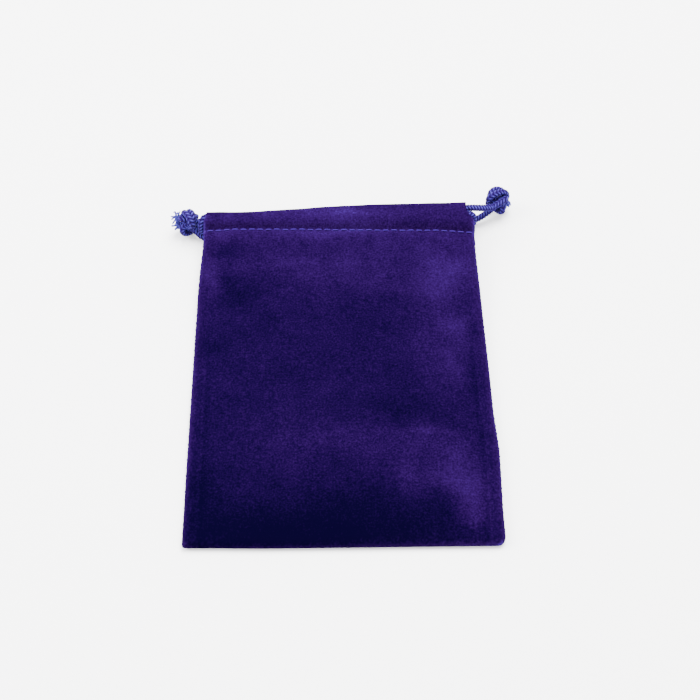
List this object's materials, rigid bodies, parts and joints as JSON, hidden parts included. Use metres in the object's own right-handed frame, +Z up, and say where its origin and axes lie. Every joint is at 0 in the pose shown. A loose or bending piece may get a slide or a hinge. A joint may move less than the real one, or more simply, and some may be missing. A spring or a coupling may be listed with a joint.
{
  "type": "drawstring dice bag",
  "caption": "Flat velour drawstring pouch for dice, with a sewn casing at the mouth and a knotted drawcord at each end of it.",
  "frame": {"origin": "middle of the pouch's outline, on the surface that it lies on", "axes": "+X across the pouch to its right-hand side, +Y from the bottom fold to the mouth, +Z up through its thickness"},
  "size_m": [0.1286, 0.1506, 0.0131],
  "materials": {
    "velour": "deep indigo short-pile velour",
    "cord": "round braided blue-violet polyester cord",
    "thread": "light violet sewing thread"
  },
  "bodies": {
    "pouch": {"front_panel": "velour", "back_panel": "velour", "bottom_fold": "velour", "left_seam_allowance": "velour", "right_seam_allowance": "velour", "front_casing": "velour", "front_hem": "velour", "back_casing": "velour", "back_hem": "velour", "front_casing_stitching": "thread", "back_casing_stitching": "thread", "left_seam_stitching": "thread", "right_seam_stitching": "thread", "left_slit_bartack": "thread", "right_slit_bartack": "thread"},
    "left_drawcord": {"left_cord": "cord", "left_knot": "cord", "left_cord_ends": "cord"},
    "right_drawcord": {"right_cord": "cord", "right_knot": "cord", "right_cord_ends": "cord"}
  },
  "joints": [
    {"name": "left_cord_pull", "type": "slide", "parent": "pouch", "child": "left_drawcord", "axis": [-0.9993, -0.0375, 0], "range_m": [0, 0.03], "deforming": ["front_panel", "back_panel", "left_seam_allowance", "right_seam_allowance", "front_casing", "front_hem", "back_casing", "back_hem", "front_casing_stitching", "back_casing_stitching", "left_seam_stitching", "right_seam_stitching", "left_slit_bartack", "right_slit_bartack"]},
    {"name": "right_cord_pull", "type": "slide", "parent": "pouch", "child": "right_drawcord", "axis": [0.9993, 0.0375, 0], "range_m": [0, 0.03], "deforming": ["front_panel", "back_panel", "left_seam_allowance", "right_seam_allowance", "front_casing", "front_hem", "back_casing", "back_hem", "front_casing_stitching", "back_casing_stitching", "left_seam_stitching", "right_seam_stitching", "left_slit_bartack", "right_slit_bartack"]}
  ]
}
